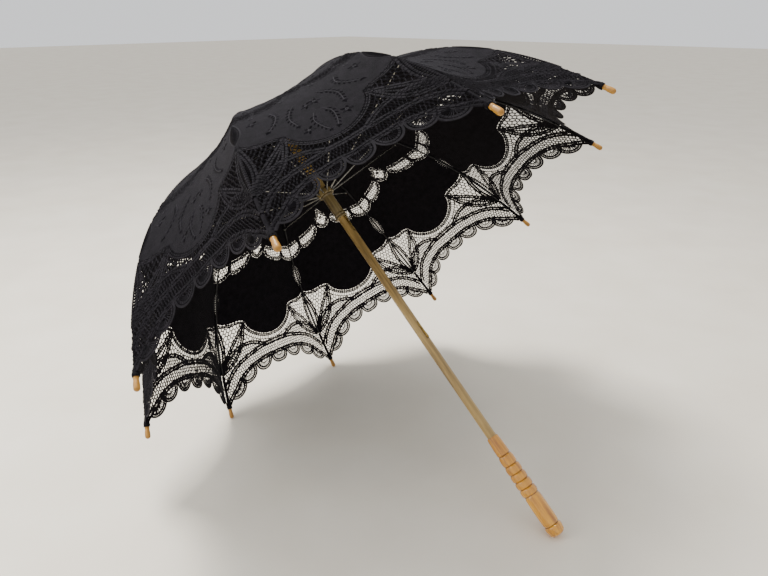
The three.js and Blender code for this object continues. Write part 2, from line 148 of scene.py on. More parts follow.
def ripple(turn, share, across):
    """Small unevenness of the stretched cloth: none on a rib, most at mid-panel."""
    free = (2 * across) ** 2
    slow = np.sin(5 * turn + 9 * share) + 0.6 * np.sin(13 * turn - 17 * share)
    edge = np.clip((share - 0.8) / 0.1, 0, 1)
    quick = np.sin(37 * turn + 11 * share) + np.sin(61 * turn)
    return free * MM * (0.9 * slow * np.clip(3 * share, 0, 1) + 0.9 * edge * quick)


def drape(flat, angle):
    """Lays flat points (x across from the rib, y along it, lift) on the canopy at a rib."""
    share = flat[:, 1] / BOW_LENGTH
    across = np.clip(np.abs(flat[:, 0]) / panel_width(share), 0, 0.5)
    side = np.sign(flat[:, 0])
    turn = angle + side * across * STEP
    r, z = bow(share, LIFT + flat[:, 2] + ripple(turn, share, across))
    sag = 1 - SAG * 4 * across * (1 - across)
    x = r * (1 - across + across * math.cos(STEP)) * sag
    y = side * r * across * math.sin(STEP) * sag
    c, s = math.cos(angle), math.sin(angle)
    return to_row(np.stack([x * c - y * s, x * s + y * c, z], 1))


# ---- flat lace pattern tools
TAPE_THICK = 0.7 * MM
NET_THREAD = 0.92 * MM
BAR_THREAD = 0.85 * MM
LADDER_THREAD = 0.6 * MM
NET_STRETCH = 1.25  # the net's cells are longer along the rib
NET_SEED = 3
ARCH_CELL = 4.3 * MM
SEAM_TAPE = 4.6 * MM
RING_TAPE = 5.4 * MM
INSERT_TAPE = 4.4 * MM
LEAF_TAPE = 6.8 * MM
CENTRE_LEAF_TAPE = 6.4 * MM
HUMP_TAPE = 7 * MM
ARCH_TAPE = 8 * MM
LOOP_TAPE = 6.8 * MM
BIG_LOOP_TAPE = 6.6 * MM
SEAM_TAPE_SHIFT = 3.6 * MM  # edge of the solid cloth to the middle of its tape


class Cloth:
    """Collects flat vertices (x, y, lift) and faces."""

    def __init__(self):
        self.vertices = []
        self.faces = []
        self.count = 0

    def add(self, vertices, faces):
        self.vertices.append(np.asarray(vertices, float))
        self.faces.extend(tuple(int(k) + self.count for k in face) for face in faces)
        self.count += len(vertices)

    def mirrored(self):
        """Adds the same shapes on the other side of the rib."""
        flat = np.concatenate(self.vertices)
        flipped = flat * np.array([-1, 1, 1])
        faces = [tuple(reversed(face)) for face in self.faces]
        self.add(flipped, faces)


def spot(across, share):
    """A flat point from its place across the panel and its share of the rib."""
    return np.array([across * float(panel_width(share)), share * BOW_LENGTH])


def catmull_rom(points, steps):
    """A smooth curve through points of any two coordinates, with steps points to each stretch."""
    p = np.array(points, float)
    p = np.vstack([2 * p[0] - p[1], p, 2 * p[-1] - p[-2]])
    out = []
    for a, b, c, d in zip(p, p[1:], p[2:], p[3:]):
        for t in np.linspace(0, 1, steps, endpoint=False):
            out.append(0.5 * (2 * b + (c - a) * t + (2 * a - 5 * b + 4 * c - d) * t * t
                              + (3 * b - 3 * c + d - a) * t ** 3))
    out.append(p[-2])
    return np.array(out)


def steps_of(path):
    return np.hypot(*np.diff(path, axis=0).T)


def resample(path, spacing):
    length = np.concatenate([[0], np.cumsum(steps_of(path))])
    count = max(2, int(round(length[-1] / spacing)) + 1)
    even = np.linspace(0, length[-1], count)
    return np.stack([np.interp(even, length, path[:, k]) for k in (0, 1)], 1)


def units(vectors):
    return vectors / np.maximum(np.hypot(vectors[:, 0], vectors[:, 1]), 1e-9)[:, None]


def quarter_turn(vectors):
    return np.stack([-vectors[:, 1], vectors[:, 0]], 1)


def tangents_of(path):
    return units(np.gradient(path, axis=0))


def normals_of(path):
    return quarter_turn(tangents_of(path))


def band(cloth, path, offset, width, thick, lift=0.0):
    """A flat band with a rectangular section along a path, offset to one side of it."""
    side = normals_of(path)
    low, high = path + side * (offset - width / 2), path + side * (offset + width / 2)
    n = len(path)
    corners = []
    for line, up in ((low, -1), (high, -1), (high, 1), (low, 1)):
        corners.append(np.column_stack([line, np.full(n, lift + up * thick / 2)]))
    vertices = np.stack(corners, 1).reshape(-1, 3)
    faces = []
    for k in range(n - 1):
        a, b = 4 * k, 4 * k + 4
        for e in range(4):
            f = (e + 1) % 4
            faces.append((a + e, a + f, b + f, b + e))
    faces.append((3, 2, 1, 0))
    faces.append(tuple(4 * (n - 1) + e for e in range(4)))
    cloth.add(vertices, faces)


def threads(cloth, starts, ends, radius=BAR_THREAD, lift=0.0):
    """Straight threads with a small three-sided section between pairs of flat points."""
    starts, ends = np.asarray(starts, float), np.asarray(ends, float)
    if len(starts) == 0:
        return
    side = quarter_turn(units(ends - starts))
    rings = []
    for point in (starts, ends):
        for shift, up in ((0.87, -0.5), (-0.87, -0.5), (0, 1)):
            flat = point + side * shift * radius
            rings.append(np.column_stack([flat, np.full(len(flat), lift + up * radius)]))
    vertices = np.stack(rings, 1).reshape(-1, 3)
    pattern = ((0, 1, 4, 3), (1, 2, 5, 4), (2, 0, 3, 5), (2, 1, 0), (3, 4, 5))
    faces = [tuple(6 * k + i for i in face) for k in range(len(starts)) for face in pattern]
    cloth.add(vertices, faces)


def polyline_threads(cloth, path):
    threads(cloth, path[:-1], path[1:])


def tape(cloth, path, width, rung=2.3 * MM):
    """Lace tape: two firm woven edges with a ladder of fine bars between them."""
    edge = 0.4 * width
    for offset in (-1, 1):
        band(cloth, path, offset * (width - edge) / 2, edge, TAPE_THICK)
    inner = width / 2 - edge * 0.9
    bars = resample(path, rung)[1:-1]
    if len(bars) > 1:
        side = normals_of(bars)
        threads(cloth, bars - side * inner, bars + side * inner, LADDER_THREAD)


def inside(points, polygon):
    """Which flat points lie inside a polygon."""
    x, y = points[:, 0], points[:, 1]
    result = np.zeros(len(points), bool)
    xa, ya = polygon[-1]
    for xb, yb in polygon:
        crosses = (ya > y) != (yb > y)
        with np.errstate(divide="ignore", invalid="ignore"):
            reach = (xb - xa) * (y - ya) / (yb - ya) + xa
        result ^= crosses & (x < reach)
        xa, ya = xb, yb
    return result


def net(cloth, polygon, holes=(), cell=6 * MM, radius=NET_THREAD):
    """An uneven six-sided net that fills a polygon, apart from its holes."""
    rng = np.random.default_rng(NET_SEED)
    polygon = np.asarray(polygon)
    low, high = polygon.min(0) - cell, polygon.max(0) + cell
    a = cell / 1.732 * NET_STRETCH
    columns = int((high[0] - low[0]) / cell) + 3
    rows = int((high[1] - low[1]) / (1.5 * a)) + 3
    nodes = {}

    def node(i, j, k):
        key = (i, j, k)
        if key not in nodes:
            x = low[0] + cell * (i + 0.5 * (j % 2))
            y = low[1] + 1.5 * a * j + (0 if k == 0 else 1.05 * a)
            nodes[key] = np.array([x, y]) + rng.uniform(-0.16, 0.16, 2) * cell
        return nodes[key]

    pairs = []
    for j in range(rows):
        for i in range(columns):
            bottom, top = node(i, j, 0), node(i, j, 1)
            pairs.append((bottom, top))
            shift = 0 if j % 2 else -1
            pairs.append((top, node(i + shift + 1, j + 1, 0)))
            pairs.append((top, node(i + shift, j + 1, 0)))
    pairs = np.array(pairs)
    middle = pairs.mean(1)
    keep = inside(middle, polygon)
    for hole in holes:
        keep &= ~inside(middle, np.asarray(hole))
    threads(cloth, pairs[keep, 0], pairs[keep, 1], radius)


def bars_between(cloth, first, second, spacing, radius=BAR_THREAD):
    """Bars from one curve to another at matching shares of their length."""
    lengths = steps_of(first).sum(), steps_of(second).sum()
    count = max(2, int(max(lengths) / spacing))
    a, b = (resample(c, 1e-9 + length / count) for c, length in zip((first, second), lengths))
    n = min(len(a), len(b))
    wander = np.random.default_rng(n).uniform(-0.22, 0.22, (n, 1)) * spacing
    a, b = a[:n], b[:n] + wander * tangents_of(b[:n])
    threads(cloth, a, b, radius)


# ---- the lace pattern
# Every place below is (across, share): across the panel from the rib, 0 to 0.5 at mid-panel,
# and the share of the rib's length.
CROWN_EDGE = [(0.5, 0.418), (0.455, 0.45), (0.38, 0.473), (0.26, 0.486), (0.12, 0.49), (0, 0.49)]
RING_SIDE = [(0.405, 0.492), (0.375, 0.515), (0.29, 0.534), (0.19, 0.541), (0.135, 0.531)]
RING_MIDDLE = [(0.135, 0.531), (0.09, 0.545), (0, 0.55)]
EYELET_OUT = [(0.405, 0.485), (0.44, 0.505), (0.5, 0.515)]
EYELET_NET = [(0.5, 0.42), (0.4, 0.475), (0.405, 0.49), (0.5, 0.513)]
EYELET_DOT = (0.5, 0.468)
RING_BARS = (((0.4, 0.466), (0.405, 0.49)), ((0.135, 0.488), (0.135, 0.532)))
RING_BAR_WIDTH = 6 * MM
INSERT_ENDS = (0.562, 0.67)
INSERT_HALF = 6.5 * MM
SHOULDER = [(0, 0.678), (0.05, 0.694), (0.12, 0.703), (0.19, 0.706), (0.245, 0.714)]
LOBE = [(0.245, 0.714), (0.265, 0.735), (0.305, 0.757), (0.37, 0.777), (0.44, 0.788), (0.5, 0.791)]
HUMP = [(0.012, 0.856), (0.035, 0.832), (0.08, 0.81), (0.15, 0.796), (0.225, 0.793),
        (0.3, 0.801), (0.36, 0.814), (0.40, 0.8235)]
ARCH_TOP = [(0.014, 0.908), (0.035, 0.89), (0.06, 0.876), (0.11, 0.855), (0.18, 0.841),
            (0.28, 0.83), (0.39, 0.8235), (0.5, 0.822)]
ARCH_BOTTOM = [(0.014, 0.958), (0.035, 0.944), (0.08, 0.924), (0.14, 0.897), (0.24, 0.874),
               (0.36, 0.866), (0.5, 0.864)]
FAN_BASE = (0.012, 0.855)
CUSP_LEAF_TIP = (0.236, 0.724)
CUSP_LEAF_BEND = 5 * MM
CENTRE_LEAF_TIP = 0.687
LEAF_HALF = 9 * MM
LEAF_BARS = 4 * MM
LADDER_REACH = 11 * MM
LOOP_PLACES = (0.19, 0.345, 0.5)
LOOP_HALF = 15 * MM
LOOP_DEPTH = 18 * MM
BIG_LOOP_PLACE = 0.085
BIG_LOOP_HALF = 15 * MM
BIG_LOOP_DEPTH = 14 * MM


def curve(places, spacing=3 * MM):
    """A smooth flat curve through (across, share) places, resampled evenly."""
    return resample(catmull_rom([spot(*p) for p in places], 12), spacing)


def line_between(start, end):
    """The length and direction from start to end, and the direction square to it."""
    length = np.hypot(*(end - start))
    along = (end - start) / length
    return length, along, np.array([-along[1], along[0]])


def arc(centre, radius, start, end, count):
    f = np.linspace(start, end, count)
    return centre + np.stack([np.cos(f), np.sin(f)], 1) * radius


def leaf(base, tip, bend=0.0):
    """The two sides and the vein of a pointed leaf from its base to its tip."""
    length, along, side = line_between(base, tip)
    f = np.linspace(0, 1, 14)
    swell = np.sin(math.pi * f ** 0.8) * LEAF_HALF
    lean = bend * np.sin(math.pi * f)
    middle = base + np.outer(f * length, along) + np.outer(lean, side)
    left, right = middle + swell[:, None] * side, middle - swell[:, None] * side
    return [resample(line, 3 * MM) for line in (left, right, middle)]


def loop_on(path, at, half, depth):
    """A half-ellipse that hangs from a path at the point nearest to at."""
    k = int(np.argmin(np.hypot(*(path - at).T)))
    ahead, behind = path[min(k + 2, len(path) - 1)], path[max(k - 2, 0)]
    _, along, out = line_between(behind, ahead)
    if out[1] < 0:
        out = -out
    f = np.linspace(0, math.pi, 18)
    return path[k] + np.outer(np.cos(f) * half, along) + np.outer(np.sin(f) ** 0.8 * depth, out)


def up_to_middle(path):
    """The part of a path that lies on this side of mid-panel, ending exactly on it."""
    excess = path[:, 0] / panel_width(path[:, 1] / BOW_LENGTH) - 0.5
    if excess[0] > 0:
        path, excess = path[::-1], excess[::-1]
    last = int(np.argmax(excess > 0)) if (excess > 0).any() else len(path)
    kept = path[:last]
    if last < len(path):
        f = -excess[last - 1] / (excess[last] - excess[last - 1])
        kept = np.vstack([kept, path[last - 1] + f * (path[last] - path[last - 1])])
    return kept


def seam_tape(lace, edge, way, width=SEAM_TAPE):
    """A tape beside the edge of the solid cloth, joined to it by short bars."""
    line = edge + normals_towards(edge, way * SEAM_TAPE_SHIFT)
    tape(lace, line, width)
    across = normals_towards(edge, way * SEAM_TAPE_SHIFT)
    threads(lace, (edge - across * 0.3)[1::2], (edge + across)[1::2])


def ring_and_eyelet(lace):
    crown, side, middle = curve(CROWN_EDGE), curve(RING_SIDE), curve(RING_MIDDLE)
    eyelet = curve(EYELET_OUT)
    for edge, way in ((crown, 1), (side, -1), (middle, -1), (eyelet, -1)):
        seam_tape(lace, edge, way, RING_TAPE)
    share = np.linspace(0, 1, len(crown))
    for start, end in RING_BARS:
        band(lace, np.array([spot(*start), spot(*end)]), 0, RING_BAR_WIDTH, TAPE_THICK)
    side_part = np.vstack([crown[(share > 0.28) & (share < 0.74)], side[::-1]])
    middle_part = np.vstack([crown[share > 0.74], middle[::-1]])
    for part in (side_part, middle_part):
        net(lace, part, cell=4.8 * MM, radius=BAR_THREAD)
    net(lace, [spot(*p) for p in EYELET_NET], cell=5 * MM, radius=0.7 * MM)
    dot = spot(*EYELET_DOT)
    for radius in (1.3 * MM, 2.5 * MM):
        half_ring = arc(dot, radius, math.pi / 2, 3 * math.pi / 2, 12)
        band(lace, half_ring, 0, 1.3 * MM, 0.9 * MM)


def insert_outline():
    top, bottom = (share * BOW_LENGTH for share in INSERT_ENDS)
    f = np.linspace(0, 1, 20)
    return np.stack([INSERT_HALF * np.sin(math.pi * f), top + (bottom - top) * f], 1)


def rib_insert(lace):
    outline = insert_outline()
    tape(lace, resample(outline, 3 * MM), INSERT_TAPE)
    zig = resample(outline, 4 * MM)
    centre = zig * np.array([0, 1])
    threads(lace, centre, zig)
    threads(lace, centre[1:], zig[:-1])
    polyline_threads(lace, centre)


def fan(lace):
    """The net under the patches, with two leaves and half of the middle leaf of the fan."""
    shoulder, lobe = curve(SHOULDER), curve(LOBE)
    seam_tape(lace, shoulder, 1)
    seam_tape(lace, lobe, 1)
    base = spot(*FAN_BASE)
    left, right, vein = leaf(base, spot(*CUSP_LEAF_TIP), CUSP_LEAF_BEND)
    for side in (left, right):
        tape(lace, side, LEAF_TAPE)
    band(lace, vein, 0, 2.2 * MM, TAPE_THICK)
    for side in (left, right):
        bars_between(lace, side, vein, LEAF_BARS)
    outer, _, middle = leaf(spot(0, FAN_BASE[1]), spot(0, CENTRE_LEAF_TIP))
    tape(lace, outer, CENTRE_LEAF_TAPE)
    bars_between(lace, outer, middle, LEAF_BARS)
    band(lace, middle, 0.9 * MM, 1.8 * MM, TAPE_THICK)

    ladder = lobe + normals_towards(lobe, LADDER_REACH)
    bars_between(lace, lobe, ladder, 5 * MM)
    polyline_threads(lace, resample(ladder, 3 * MM))
    top = curve(ARCH_TOP)
    field = np.vstack([shoulder, ladder[2:], top[::-1][: len(top) - 1]])
    holes = [np.vstack([left, right[::-1]]), np.vstack([outer, middle[::-1]]),
             above_arch(curve(HUMP), top)]
    net(lace, field, holes)


def above_arch(hump, top):
    """The outline between the hump and the part of the arch band below it."""
    return np.vstack([hump, top[top[:, 0] <= hump[-1, 0]][::-1]])


def arches(lace):
    """The hump, the arch band with its net, and the looped edge."""
    hump, top, bottom = curve(HUMP), curve(ARCH_TOP), curve(ARCH_BOTTOM)
    tape(lace, hump, HUMP_TAPE)
    tape(lace, top, ARCH_TAPE)
    tape(lace, bottom, ARCH_TAPE)
    net(lace, np.vstack([top, bottom[::-1]]), cell=ARCH_CELL)
    net(lace, above_arch(hump, top), cell=ARCH_CELL)
    edge_loops(lace, bottom)


def normals_towards(path, reach):
    """Offsets of a path by reach, on the side of growing share."""
    side = normals_of(path)
    return np.where(side[:, 1:2] < 0, -side, side) * reach


def nearest_to(path, place):
    """The index of the point of a path at a place across the panel."""
    return int(np.argmin(np.abs(path[:, 0] / panel_width(path[:, 1] / BOW_LENGTH) - place)))


def edge_loops(lace, bottom):
    for place in LOOP_PLACES:
        root = bottom[nearest_to(bottom, place)]
        line = resample(loop_on(bottom, root, LOOP_HALF, LOOP_DEPTH), 2.4 * MM)
        inner = root + (line - root) * 0.45
        if place == 0.5:
            line, inner = up_to_middle(line), up_to_middle(inner)
        tape(lace, line, LOOP_TAPE, 2 * MM)
        polyline_threads(lace, inner)
        bars_between(lace, inner, line, LEAF_BARS)
        threads(lace, [root] * 3, inner[[len(inner) // 5, len(inner) // 2, -len(inner) // 5]])
    root = bottom[nearest_to(bottom, BIG_LOOP_PLACE)]
    line = resample(loop_on(bottom, root, BIG_LOOP_HALF, BIG_LOOP_DEPTH), 2.4 * MM)
    tape(lace, line, BIG_LOOP_TAPE, 2 * MM)
    bars_between(lace, root + (line - root) * 0.2, line, 3.6 * MM)


def ring_lace():
    """The ring between the crown and the patches, and the insert on the rib."""
    lace = Cloth()
    ring_and_eyelet(lace)
    rib_insert(lace)
    lace.mirrored()
    return lace


def edge_lace(part):
    """One row of the lace below the patches: the fan, or the arches."""
    lace = Cloth()
    part(lace)
    lace.mirrored()
    return lace


# ---- solid cloth
CLOTH_START = 0.012  # share of the rib where the cloth begins, under the cap
CLOTH_THICK = 0.5 * MM
CLOTH_GRID = 7 * MM


def mid_panel(from_share, to_share, count=24):
    return np.array([spot(0.5, s) for s in np.linspace(from_share, to_share, count)])


def whole_outline(half):
    """A closed outline from one half, which starts and ends on the rib's line."""
    other = half[::-1] * np.array([-1, 1])
    return np.vstack([half, other[1:-1]])


def crown_outline():
    start = np.array([spot(a, CLOTH_START) for a in np.linspace(0, 0.5, 4)])
    side = mid_panel(CLOTH_START, CROWN_EDGE[0][1])
    edge = curve(CROWN_EDGE, 4 * MM)
    return whole_outline(np.vstack([start, side[1:], edge[1:]]))


def patch_outline():
    top = np.vstack([curve(RING_MIDDLE, 4 * MM)[::-1], curve(RING_SIDE, 4 * MM)[::-1][1:],
                     curve(EYELET_OUT, 4 * MM)[1:]])
    bottom = np.vstack([curve(SHOULDER, 4 * MM), curve(LOBE, 4 * MM)[1:]])[::-1]
    side = mid_panel(EYELET_OUT[-1][1], LOBE[-1][1])
    return whole_outline(np.vstack([top, side[1:-1], bottom]))


def filled(cloth, outline, hole=None):
    """A closed two-sided sheet inside an outline. Returns its flat area."""
    def covered(spots):
        kept = inside(spots, outline)
        return kept if hole is None else kept & ~inside(spots, hole)

    loops = [outline] + ([hole] if hole is not None else [])
    points = [Vector(p) for loop in loops for p in loop]
    edges = []
    start = 0
    for loop in loops:
        edges += [(start + k, start + (k + 1) % len(loop)) for k in range(len(loop))]
        start += len(loop)
    low, high = outline.min(0), outline.max(0)
    columns = np.arange(0, high[0], CLOTH_GRID)
    rows = []
    for j, y in enumerate(np.arange(low[1] + CLOTH_GRID / 2, high[1], CLOTH_GRID * 0.87)):
        xs = columns + (CLOTH_GRID / 2 if j % 2 else 0)
        xs = np.unique(np.concatenate([-xs, xs]))
        rows.append(np.column_stack([xs, np.full(len(xs), y)]))
    spots = np.vstack(rows)
    rim = np.vstack(loops)
    near = np.min(np.hypot(spots[:, None, 0] - rim[None, :, 0],
                           spots[:, None, 1] - rim[None, :, 1]), axis=1)
    points += [Vector(p) for p in spots[covered(spots) & (near > CLOTH_GRID * 0.45)]]
    flat, _, triangles, *_ = delaunay_2d_cdt(points, edges, [], 0, 1e-7)
    flat = np.array([tuple(v) for v in flat])
    faces = np.array([t for t in triangles if len(t) == 3])
    faces = faces[covered(flat[faces].mean(1))]
    a, b, c = (flat[faces[:, k]] for k in range(3))
    double = (b[:, 0] - a[:, 0]) * (c[:, 1] - a[:, 1]) - (b[:, 1] - a[:, 1]) * (c[:, 0] - a[:, 0])
    faces[double < 0] = faces[double < 0][:, ::-1]
    n = len(flat)
    top = np.column_stack([flat, np.full(n, CLOTH_THICK / 2)])
    under = np.column_stack([flat, np.full(n, -CLOTH_THICK / 2)])
    sides = [(face[k], face[(k + 1) % 3]) for face in faces for k in range(3)]
    shared = set(sides)
    walls = [(j, i, i + n, j + n) for i, j in sides if (j, i) not in shared]
    sheet = [tuple(f) for f in faces] + [tuple(f[::-1] + n) for f in faces] + walls
    cloth.add(np.vstack([top, under]), sheet)
    return float(np.abs(double).sum() / 2)


def crown_cloth():
    """The solid middle of one gore, and its flat area."""
    cloth = Cloth()
    return cloth, filled(cloth, crown_outline())


def patch_cloth():
    """The solid patches of one gore, round the insert's hole, and their flat area."""
    cloth = Cloth()
    return cloth, filled(cloth, patch_outline(), whole_outline(insert_outline()))


# ---- embroidery and stitching
SATIN_THREAD = 0.34 * MM
SATIN_LIFT = 0.22 * MM
LEAF_GAP = 6.5 * MM  # along a sprig's stem
SEAM_BAND = 5.6 * MM
STITCH = 2.3 * MM
STITCH_GAP = 3.4 * MM


def satin_leaf(work, base, tip, half):
    """A raised leaf of side-by-side satin stitches."""
    length, along, side = line_between(base, tip)
    count = max(5, int(length / (1.5 * SATIN_THREAD)))
    f = (np.arange(count) + 0.5) / count
    middle = base + np.outer(f * length, along)
    swell = (np.sin(math.pi * f ** 0.85) ** 0.8 * half)[:, None] * side
    slant = along * half * 0.35
    threads(work, middle - swell - slant, middle + swell + slant, SATIN_THREAD, SATIN_LIFT)


def sprig(work, places, leaf_length):
    """A stem with satin leaves to both sides and one at its end."""
    stem = curve(places)
    band(work, stem, 0, 0.9 * MM, 0.7 * MM, 0.3 * MM)
    nodes = resample(stem, LEAF_GAP)[1:]
    side = normals_of(nodes)
    along = np.stack([side[:, 1], -side[:, 0]], 1)
    for k, point in enumerate(nodes):
        reach = leaf_length * (1 - 0.35 * k / len(nodes))
        for turn in (-1, 1):
            tip = point + side[k] * turn * reach * 0.72 + along[k] * reach * 0.7
            satin_leaf(work, point + side[k] * turn * 1.2 * MM, tip, 0.24 * reach)
    satin_leaf(work, nodes[-1], nodes[-1] + along[-1] * leaf_length, 0.26 * leaf_length)


def ring_eyelet(work, centre, radius=2.6 * MM):
    band(work, arc(centre, radius, 0, 2 * math.pi, 13), 0, 1.2 * MM, 0.8 * MM, 0.3 * MM)


CROWN_MOTIFS = {
    "sprigs": ((((0.12, 0.29), (0.25, 0.33), (0.22, 0.385), (0.12, 0.43)), 6.5),
               (((0.42, 0.27), (0.36, 0.32), (0.37, 0.37), (0.42, 0.39)), 6)),
    "flowers": ((0.31, 0.43), (0.12, 0.20), (0.30, 0.23)),
    "eyelets": ((0.25, 0.46), (0.08, 0.47), (0.40, 0.455)),
    "seam": (0.035, 0.484),
}
PATCH_MOTIFS = {
    "sprigs": ((((0.41, 0.60), (0.36, 0.625), (0.33, 0.66), (0.345, 0.70)), 6.5),
               (((0.47, 0.68), (0.44, 0.71), (0.455, 0.745), (0.475, 0.765)), 6),
               (((0.24, 0.575), (0.27, 0.61), (0.24, 0.645), (0.19, 0.67)), 6.5)),
    "flowers": ((0.47, 0.635), (0.12, 0.60), (0.38, 0.735)),
    "eyelets": ((0.37, 0.535), (0.12, 0.56)),
    "seam": (0.675, 0.69),
}


def flower(work, centre, petal=6 * MM):
    """Five satin petals round a small ring."""
    for k in range(5):
        a = 2 * math.pi * k / 5 + 0.3
        way = np.array([math.cos(a), math.sin(a)])
        satin_leaf(work, centre + way * 1.8 * MM, centre + way * (1.8 * MM + petal), 0.3 * petal)
    ring_eyelet(work, centre, 1.5 * MM)


def embroidery(motifs):
    """Raised motifs on the solid cloth, and the seam that runs down the rib."""
    work = Cloth()
    for places, leaf_length in motifs["sprigs"]:
        sprig(work, places, leaf_length * MM)
    for place in motifs["flowers"]:
        flower(work, spot(*place))
    for place in motifs["eyelets"]:
        ring_eyelet(work, spot(*place))
    work.mirrored()
    start, end = motifs["seam"]
    seam = np.array([spot(0, start), spot(0, end)])
    band(work, resample(seam, 6 * MM), 0, SEAM_BAND, 0.6 * MM, 0.35 * MM)
    steps = np.arange(start * BOW_LENGTH, end * BOW_LENGTH, STITCH_GAP)
    for offset in (-2.2 * MM, 2.2 * MM):
        line = np.column_stack([np.full(len(steps), offset), steps])
        threads(work, line, line + np.array([0, STITCH]), 0.26 * MM, 0.75 * MM)
    return work


# ---- materials
# Colours are sRGB, 0 to 255.
def linear(colour):
    """An sRGB colour as linear light."""
    shares = [c / 255 for c in colour]
    return [c / 12.92 if c <= 0.04045 else ((c + 0.055) / 1.055) ** 2.4 for c in shares]


def shader(name, roughness, metallic=0.0, **uniform):
    """A node material with its uniform numbers set straight on the shader."""
    made = bpy.data.materials.new(name)
    made.use_nodes = True
    tree = made.node_tree
    bsdf = tree.nodes["Principled BSDF"]
    bsdf.inputs["Roughness"].default_value = roughness
    bsdf.inputs["Metallic"].default_value = metallic
    for key, value in uniform.items():
        bsdf.inputs[key.replace("_", " ").title()].default_value = value
    return made, tree, bsdf


def feed(tree, socket, value):
    """Links an output to a socket, or sets the socket to a plain value."""
    if isinstance(value, bpy.types.NodeSocket):
        tree.links.new(value, socket)
    else:
        socket.default_value = value


def add_node(tree, kind, settings=None, **values):
    node = tree.nodes.new(kind)
    for key, value in (settings or {}).items():
        setattr(node, key, value)
    for key, value in values.items():
        feed(tree, node.inputs[key.replace("_", " ")], value)
    return node


def calculated(tree, operation, *values):
    node = add_node(tree, "ShaderNodeMath", {"operation": operation})
    for socket, value in zip(node.inputs, values):
        feed(tree, socket, value)
    return node.outputs[0]


def noise(tree, coords, **values):
    return add_node(tree, "ShaderNodeTexNoise", Vector=coords, **values).outputs["Fac"]


def coloured(tree, bsdf, source, stops):
    """Colours the surface by a ramp of (place, colour) stops."""
    node = add_node(tree, "ShaderNodeValToRGB", Fac=source)
    while len(node.color_ramp.elements) < len(stops):
        node.color_ramp.elements.new(0.5)
    for element, (place, colour) in zip(node.color_ramp.elements, stops):
        element.position = place
        element.color = (*linear(colour), 1)
    tree.links.new(node.outputs["Color"], bsdf.inputs["Base Color"])


def bump(tree, bsdf, height, strength, distance):
    node = add_node(tree, "ShaderNodeBump", Strength=strength, Distance=distance, Height=height)
    tree.links.new(node.outputs["Normal"], bsdf.inputs["Normal"])


GRAIN_SCALE = (260, 260, 14)  # fine across the grain, long along it
TONE_SCALE = (30, 30, 9)


def grain_coords(tree, turn, scale):
    """Object coordinates, turned so that Z follows the grain, then scaled."""
    place = tree.nodes.new("ShaderNodeTexCoord").outputs["Object"]
    turned_place = add_node(tree, "ShaderNodeMapping", Vector=place, Rotation=turn)
    scaled = add_node(tree, "ShaderNodeMapping", Vector=turned_place.outputs["Vector"],
                      Scale=scale)
    return scaled.outputs["Vector"]


def wood(name, dark, mid, light, roughness, coat, turn=(0, 0, 0)):
    """Varnished wood: long grain, fine pores and a slow change of tone."""
    made, tree, bsdf = shader(name, roughness, coat_weight=coat, coat_roughness=0.09)
    grain = noise(tree, grain_coords(tree, turn, GRAIN_SCALE), Scale=1.0, Detail=6.0,
                  Roughness=0.62, Distortion=0.5)
    tone = noise(tree, grain_coords(tree, turn, TONE_SCALE), Scale=1.0, Detail=3.0)
    both = calculated(tree, "MULTIPLY_ADD", tone, 0.45, calculated(tree, "MULTIPLY", grain, 0.55))
    coloured(tree, bsdf, both, ((0.36, dark), (0.5, mid), (0.64, light)))
    bump(tree, bsdf, grain, 0.12, 0.4 * MM)
    return made


def metal(name, dark, light, roughness, metallic=0.9):
    """Drawn metal with worn, slightly tarnished patches and fine scratches."""
    made, tree, bsdf = shader(name, roughness, metallic)
    coords = tree.nodes.new("ShaderNodeTexCoord").outputs["Object"]
    tarnish = noise(tree, coords, Scale=160.0, Detail=6.0, Roughness=0.7)
    coloured(tree, bsdf, tarnish, ((0.38, dark), (0.62, light)))
    bump(tree, bsdf, noise(tree, coords, Scale=1400.0, Detail=2.0), 0.15, 0.2 * MM)
    return made


def woven(name, dark, light, roughness, sheen, weave, weave_strength):
    """Cloth or thread: crossed yarns along the fabric's own grain, with soft worn patches."""
    made, tree, bsdf = shader(name, roughness, sheen_weight=sheen, sheen_roughness=0.4)
    bsdf.inputs["Specular IOR Level"].default_value = 0.07
    bsdf.inputs["Sheen Tint"].default_value = (0.82, 0.78, 0.92, 1)
    flat = tree.nodes.new("ShaderNodeTexCoord").outputs["UV"]
    wear = noise(tree, flat, Scale=0.9, Detail=7.0, Roughness=0.65)
    yarns = [add_node(tree, "ShaderNodeTexWave", {"bands_direction": direction}, Vector=flat,
                      Scale=weave, Distortion=0.6, Detail=1.0).outputs["Fac"]
             for direction in ("X", "Y")]
    crossed = calculated(tree, "MULTIPLY", *yarns)
    mixed = calculated(tree, "MULTIPLY_ADD", crossed, 0.35, wear)
    coloured(tree, bsdf, mixed, ((0.38, dark), (0.85, light)))
    bump(tree, bsdf, crossed, weave_strength, 0.3 * MM)
    return made


def floor_paper():
    made, tree, bsdf = shader("floor_paper", 0.75)
    coords = tree.nodes.new("ShaderNodeTexCoord").outputs["Object"]
    fibre = noise(tree, coords, Scale=6.0, Detail=8.0)
    coloured(tree, bsdf, fibre, ((0.3, (224, 215, 198)), (0.7, (232, 224, 208))))
    return made


